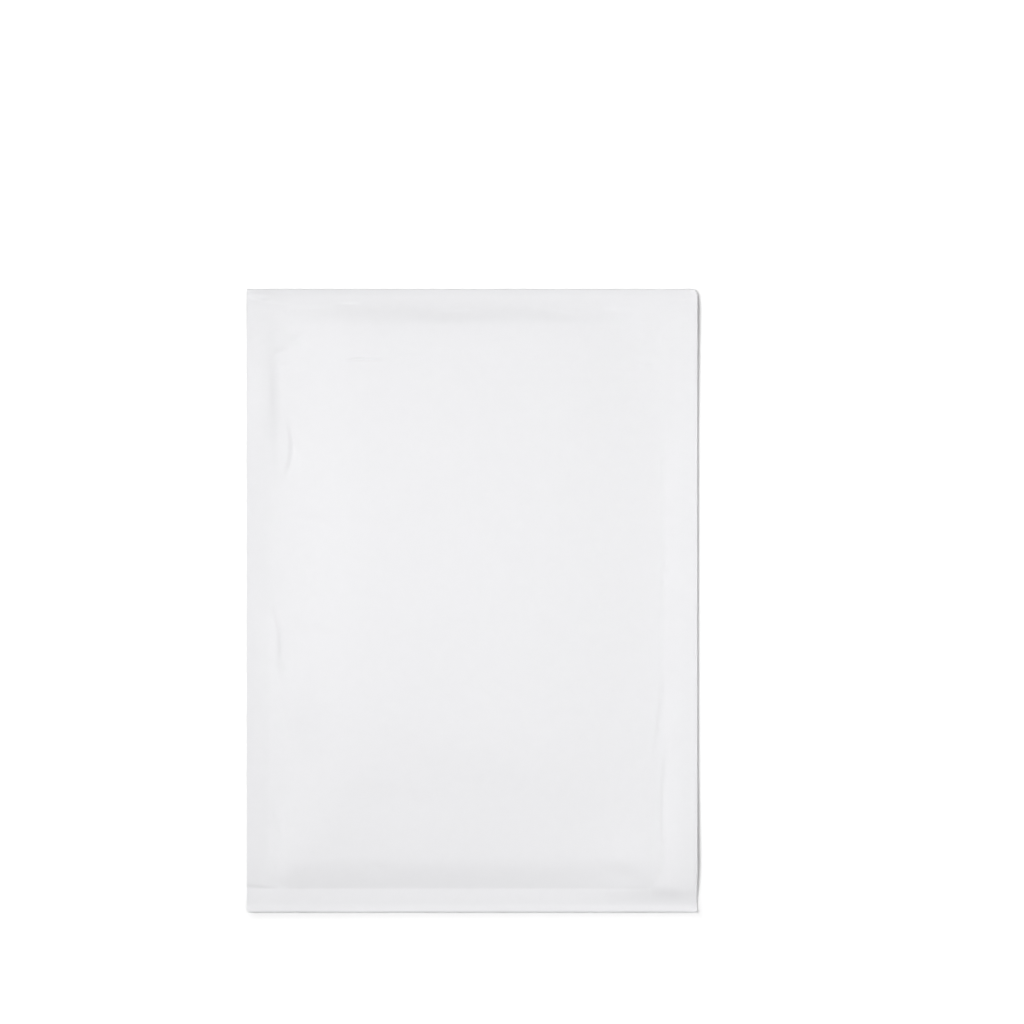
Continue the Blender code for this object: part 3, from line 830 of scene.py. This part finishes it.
def folded_points(shape, across, length):
    """Every point of the blank, folded, trimmed at its edges and wrinkled."""
    y = shape.folded_y(length)
    x = across.copy()
    tongue = length > shape.shoulder + TOLERANCE
    inner = shape.half_width - EDGE_BLEND
    for side in (-1, 1):
        near = (side * across > inner) & ~tongue
        share = (side * across - inner) / EDGE_BLEND
        edge = shape.cut_edge(side, y)
        x = np.where(near, side * (inner + share * (edge - inner)), x)
    x = np.where(tongue, across * flap_half_width(shape, length) / (shape.sizes.neck / 2), x)
    z = shape.folded_z(x, y, length)
    back = length < -shape.low_turn
    z = z + np.where(back, wrinkled(x, y, BACK_WRINKLES), 0.0)
    return np.column_stack((x, y, z))


class ENVELOPE_OT_bubble_film(bpy.types.Operator):
    """Line the pocket with bubble film."""

    bl_idname = "envelope.bubble_film"
    bl_label = "Bubble film"

    def execute(self, context):
        """Make the film's base layer and raise its bubbles."""
        sizes = context.scene.envelope_sizes
        shape = FoldedShape(sizes)
        colours = context.scene.envelope_colours
        # Polyethylene: clear with a soft sheen
        surface = plain_film("polyethylene_film", colours.film, 0.22, 1.5, 0.85, 2.0 * MM)
        base = film_base(shape)
        form = bubble_form(sizes)
        bubbles = [copy_bubble(form, shape, *place) for place in bubble_places(shape)]
        bpy.data.objects.remove(form)
        select_nothing()
        for part in [base] + bubbles:
            part.select_set(True)
        bpy.context.view_layer.objects.active = base
        bpy.ops.object.join()
        bpy.ops.object.shade_smooth_by_angle(angle=math.radians(40))
        finish_piece(base, surface, "bubble_film", "bubble_lining")
        return {"FINISHED"}


def film_web(shape, x, y, web):
    """Height of the film's base layer in the front (1) or back (-1) web."""
    if web > 0:
        full = shape.fullness(x, y, FILM_SLACK)
        rise = shape.lift(y) * (1 - full) + (shape.loft - FILM_DROP) * full
        free = shape.front_seam + rise + shape.edge_lift(x, y) - shape.film_offset
        under_paper = shape.front_sheet(x, y) - FILM_CLEARANCE
        over_back = shape.back(x, y, FILM_SLACK) + shape.film_rest + shape.sizes.film + TOUCH_GAP
        return np.maximum(np.minimum(free, under_paper), over_back)
    return shape.back(x, y, FILM_SLACK) + shape.film_rest


def film_base(shape):
    """The film's base layer, folded near the bottom."""
    fold_line = shape.band_top + FILM_FOLD_SETBACK
    front_length = FILM_TURN + FILM_HIGH.y - fold_line
    back_length = FILM_TURN + shape.top - FILM_BACK_SETBACK - fold_line
    half = shape.half_width - FILM_INSET
    zone = half - FILM_EDGE_ZONE
    columns = stepped([
        (-half, FILM_EDGE_COLUMN), (-zone, FILM_CELL), (zone, FILM_EDGE_COLUMN),
    ], half)
    rows = stepped([
        (-back_length, FILM_CELL), (-FILM_TURN, FILM_TURN / 3), (FILM_TURN, FILM_FRONT_ROW),
    ], front_length)
    piece = grid_piece("bubble_film", columns, rows)
    flat = points_of(piece)
    x, length = flat[:, 0], flat[:, 1]
    y = fold_line + np.maximum(np.abs(length) - FILM_TURN, 0.0)
    front, back = film_web(shape, x, y, 1), film_web(shape, x, y, -1)
    angle = np.clip(length / FILM_TURN, -1, 1) * math.pi / 2
    radius = (front - back) / 2
    y = y - np.where(np.abs(length) < FILM_TURN, radius * np.cos(angle), 0.0)
    z = (front + back) / 2 + radius * np.sin(angle)
    place_points(piece, np.column_stack((x, y, z)))
    thicken(piece, shape.sizes.film, False)
    return piece


def bubble_form(sizes):
    """One round bubble with a rounded top, standing on the film."""
    select_nothing()
    bpy.ops.mesh.primitive_cylinder_add(
        vertices=BUBBLE_SIDES, radius=sizes.bubble / 2, depth=sizes.bubble_height,
        location=(0, 0, 0),
    )
    form = bpy.context.object
    form.name = "bubble_form"
    select_faces(form, lambda face: face.normal.z > 0.9)
    for inset in BUBBLE_INSETS:
        bpy.ops.mesh.inset(thickness=inset)
    bpy.ops.object.mode_set(mode="OBJECT")
    points = points_of(form)
    reach = np.hypot(points[:, 0], points[:, 1]) / (sizes.bubble / 2)
    top = points[:, 2] > 0
    dome = np.sqrt(np.clip(1 - (reach * DOME_SHARE) ** DOME_POWER, 0, 1))
    points[:, 2] = np.where(top, dome * sizes.bubble_height, 0.0)
    place_points(form, points)
    return form


def bubble_places(shape):
    """Staggered places of the bubbles on both webs, each with the height that it has room for."""
    sizes = shape.sizes
    pitch = sizes.bubble_pitch
    row_step = pitch * math.sqrt(3) / 2
    low = shape.band_top + FILM_FOLD_SETBACK + BUBBLE_START * pitch
    turns = np.linspace(0, 2 * math.pi, RIM_STEPS + 1)
    rim_x = np.append(np.cos(turns), 0) * sizes.bubble / 2
    rim_y = np.append(np.sin(turns), 0) * sizes.bubble / 2
    places = []
    for web, top in ((1, FILM_HIGH.y), (-1, shape.top - FILM_BACK_SETBACK)):
        for row in range(int((top - low) / row_step)):
            y = low + row * row_step
            shift = 0.5 if row % 2 else 0.0
            for column in BUBBLE_COLUMNS:
                x = (column + shift) * pitch
                if shape.side_inset(x) < BUBBLE_MARGIN * pitch:
                    continue
                around = x + rim_x, y + rim_y
                gap = film_web(shape, *around, 1) - film_web(shape, *around, -1)
                room = (gap.min() - sizes.film - LAYER_GAP) / 2
                height = min(sizes.bubble_height, room)
                if height > LOWEST_BUBBLE:
                    places.append((x, y, web, height / sizes.bubble_height))
    return places


def copy_bubble(form, shape, x, y, web, share):
    """A bubble of its own mesh, at its place on a web, with its own height and bent to the web."""
    bubble = form.copy()
    bubble.data = form.data.copy()
    points = points_of(bubble)
    points[:, :2] += (x, y)
    base = film_web(shape, points[:, 0], points[:, 1], web) - web * shape.sizes.film / 2
    points[:, 2] = base - web * share * points[:, 2]
    place_points(bubble, points)
    if web > 0:
        bubble.data.flip_normals()
    bpy.context.scene.collection.objects.link(bubble)
    return bubble


def tape_strip(shape):
    """The clear tape, stuck to the back panel from seam to seam."""
    thickness = TAPE_HIGH.z - TAPE_LOW.z
    columns = stepped([(TAPE_LOW.x, TAPE_CELL)], TAPE_HIGH.x)
    rows = stepped([(TAPE_LOW.y, TAPE_CELL)], TAPE_HIGH.y)
    piece = grid_piece("clear_tape", columns, rows)
    points = points_of(piece)
    under = shape.sizes.paper / 2 + TAPE_GAP + thickness / 2
    points[:, 2] = shape.back(points[:, 0], points[:, 1]) - under
    place_points(piece, points)
    thicken(piece, thickness, False)
    bpy.ops.object.shade_smooth_by_angle(angle=math.radians(40))
    return piece


class ENVELOPE_OT_closure(bpy.types.Operator):
    """Stick on the clear tape and finish the adhesive and its release liner."""

    bl_idname = "envelope.closure"
    bl_label = "Closure strips"

    def execute(self, context):
        """Make the tape and give each strip the finish of its real material."""
        colours = context.scene.envelope_colours
        finishes = {
            # Hot-melt adhesive: smooth, cloudy and yellowish
            "adhesive_strip": ("hot_melt_adhesive", colours.glue, 0.3, 1.48, 0.3, 1.5 * MM),
            # Siliconed paper: satin, a little warmer than the kraft
            "release_liner": ("silicone_release_paper", colours.liner, 0.36, 1.45, 0.0, 1.2 * MM),
        }
        for node, values in finishes.items():
            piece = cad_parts[node]
            piece.data.materials.clear()
            piece.data.materials.append(plain_film(*values))
        tape = tape_strip(FoldedShape(context.scene.envelope_sizes))
        # Polypropylene tape: clear and glossy
        surface = plain_film("polypropylene_tape", colours.tape, 0.08, 1.49, 0.9, 8.0 * MM)
        finish_piece(tape, surface, "clear_film", "reopen_tape")
        return {"FINISHED"}


def add_lamp(name, place, target, width, depth, power, spread):
    """A rectangular lamp that points at a place, its light held in a cone by a grid."""
    select_nothing()
    bpy.ops.object.light_add(type="AREA", location=place)
    lamp = bpy.context.object
    lamp.name = name
    lamp.rotation_euler = (Vector(target) - Vector(place)).to_track_quat("-Z", "Y").to_euler()
    lamp.data.shape = "RECTANGLE"
    lamp.data.size = width
    lamp.data.size_y = depth
    lamp.data.energy = power
    lamp.data.spread = math.radians(spread)


def seen_directly(tree):
    """Share of camera, glossy and transmission rays."""
    ray = add_node(tree, "ShaderNodeLightPath")
    first = add_node(tree, "ShaderNodeMath", {"operation": "MAXIMUM"}, {
        0: ray.outputs["Is Camera Ray"], 1: ray.outputs["Is Glossy Ray"],
    })
    return add_node(tree, "ShaderNodeMath", {"operation": "MAXIMUM"}, {
        0: first.outputs[0], 1: ray.outputs["Is Transmission Ray"],
    }).outputs[0]


def table_with_painted_glow(colours):
    """White laminate table with painted light: a glow, seen directly, lifts it to plain white away
    from the envelope, keeps the shadows by the right and lower edges and washes out those by the
    left and upper edges.
    """
    material, tree, shader, place = new_material("painted_glow_table")
    shader.inputs["Base Color"].default_value = linear_colour(colours.floor)
    shader.inputs["Roughness"].default_value = 0.9
    shader.inputs["Specular IOR Level"].default_value = 0.0
    middle = (PAINTED_GLOW_SHIFT, -PAINTED_GLOW_SHIFT, 0)
    half = (PAPER_HIGH.x - PAINTED_GLOW_SHIFT, PAPER_HIGH.y - PAINTED_GLOW_SHIFT, 0)
    aside = add_node(tree, "ShaderNodeVectorMath", {"operation": "SUBTRACT", 1: middle}, {
        0: place,
    })
    mirrored = add_node(tree, "ShaderNodeVectorMath", {"operation": "ABSOLUTE"}, {
        0: aside.outputs["Vector"],
    })
    beyond = add_node(tree, "ShaderNodeVectorMath", {"operation": "SUBTRACT", 1: half}, {
        0: mirrored.outputs["Vector"],
    })
    sides = add_node(tree, "ShaderNodeSeparateXYZ", links={"Vector": beyond.outputs["Vector"]})
    reach = add_node(tree, "ShaderNodeMath", {"operation": "MAXIMUM"}, {
        0: sides.outputs["X"], 1: sides.outputs["Y"],
    })
    # Painted light: the glow grows from nil at the right and lower edges to full at its reach
    lift = add_node(tree, "ShaderNodeMapRange", {"From Max": PAINTED_GLOW_REACH}, {
        "Value": reach.outputs[0],
    })
    painted_glow = add_node(tree, "ShaderNodeMath", {"operation": "MULTIPLY"}, {
        0: seen_directly(tree), 1: lift.outputs[0],
    })
    shader.inputs["Emission Color"].default_value = (1, 1, 1, 1)
    tree.links.new(painted_glow.outputs[0], shader.inputs["Emission Strength"])
    return material


class ENVELOPE_OT_stage(bpy.types.Operator):
    """Lay the white table, light it softly and place the camera."""

    bl_idname = "envelope.stage"
    bl_label = "Stage"

    def execute(self, context):
        """Make the floor, the lamps, the world and the camera."""
        stage = context.scene.envelope_stage
        select_nothing()
        bpy.ops.mesh.primitive_plane_add(size=FLOOR_SIZE, location=(0, 0, 0))
        floor = context.object
        floor.name = "painted_glow_table"
        floor.data.transform(Matrix.Translation((0, 0, PAPER_LOW.z - FLOOR_DROP)))
        floor.data.materials.append(table_with_painted_glow(context.scene.envelope_colours))
        for lamp in LAMPS:
            add_lamp(*lamp)
        self.light_world(context)
        self.place_camera(context, stage)
        context.scene.view_settings.view_transform = "Standard"
        return {"FINISHED"}

    def light_world(self, context):
        """A pale surround that is plain white where it is seen."""
        world = bpy.data.worlds.new("studio")
        world.use_nodes = True
        context.scene.world = world
        tree = world.node_tree
        level = add_node(tree, "ShaderNodeMapRange", {
            "To Min": SURROUND_LEVEL, "To Max": 1.0,
        }, {"Value": seen_directly(tree)})
        background = tree.nodes["Background"]
        background.inputs["Color"].default_value = (1, 1, 1, 1)
        tree.links.new(level.outputs[0], background.inputs["Strength"])

    def place_camera(self, context, stage):
        """A camera straight above, its upper edge towards the top fold."""
        select_nothing()
        bpy.ops.object.camera_add(
            location=(stage.camera_x, stage.camera_y, stage.camera_height), rotation=(0, 0, 0)
        )
        camera = context.object
        camera.name = "camera"
        camera.data.lens = stage.lens
        camera.data.sensor_width = 36.0
        camera.data.clip_end = 20.0
        context.scene.camera = camera


class ENVELOPE_PT_panel(bpy.types.Panel):
    """Lists the envelope's pieces in the sidebar."""

    bl_idname = "ENVELOPE_PT_panel"
    bl_label = "Padded envelope"
    bl_space_type = "VIEW_3D"
    bl_region_type = "UI"
    bl_category = "Envelope"

    def draw(self, context):
        """Draw the buttons, sizes and colours."""
        layout = self.layout
        for operator in OPERATORS:
            layout.operator(operator.bl_idname)
        for group in ("envelope_sizes", "envelope_colours", "envelope_stage"):
            settings = getattr(context.scene, group)
            for name in settings.__annotations__:
                layout.prop(settings, name)


OPERATORS = (ENVELOPE_OT_paper, ENVELOPE_OT_bubble_film, ENVELOPE_OT_closure, ENVELOPE_OT_stage)
CLASSES = (EnvelopeSizes, EnvelopeColours, EnvelopeStage) + OPERATORS + (ENVELOPE_PT_panel,)


def register():
    """Register the classes and their settings."""
    for part in CLASSES:
        bpy.utils.register_class(part)
    bpy.types.Scene.envelope_sizes = PointerProperty(type=EnvelopeSizes)
    bpy.types.Scene.envelope_colours = PointerProperty(type=EnvelopeColours)
    bpy.types.Scene.envelope_stage = PointerProperty(type=EnvelopeStage)


def unregister():
    """Remove the settings and the classes."""
    del bpy.types.Scene.envelope_stage
    del bpy.types.Scene.envelope_colours
    del bpy.types.Scene.envelope_sizes
    for part in reversed(CLASSES):
        bpy.utils.unregister_class(part)


def main():
    """Build everything in order."""
    register()
    bpy.ops.envelope.paper()
    bpy.ops.envelope.bubble_film()
    bpy.ops.envelope.closure()
    bpy.ops.envelope.stage()


if __name__ == "__main__":
    main()
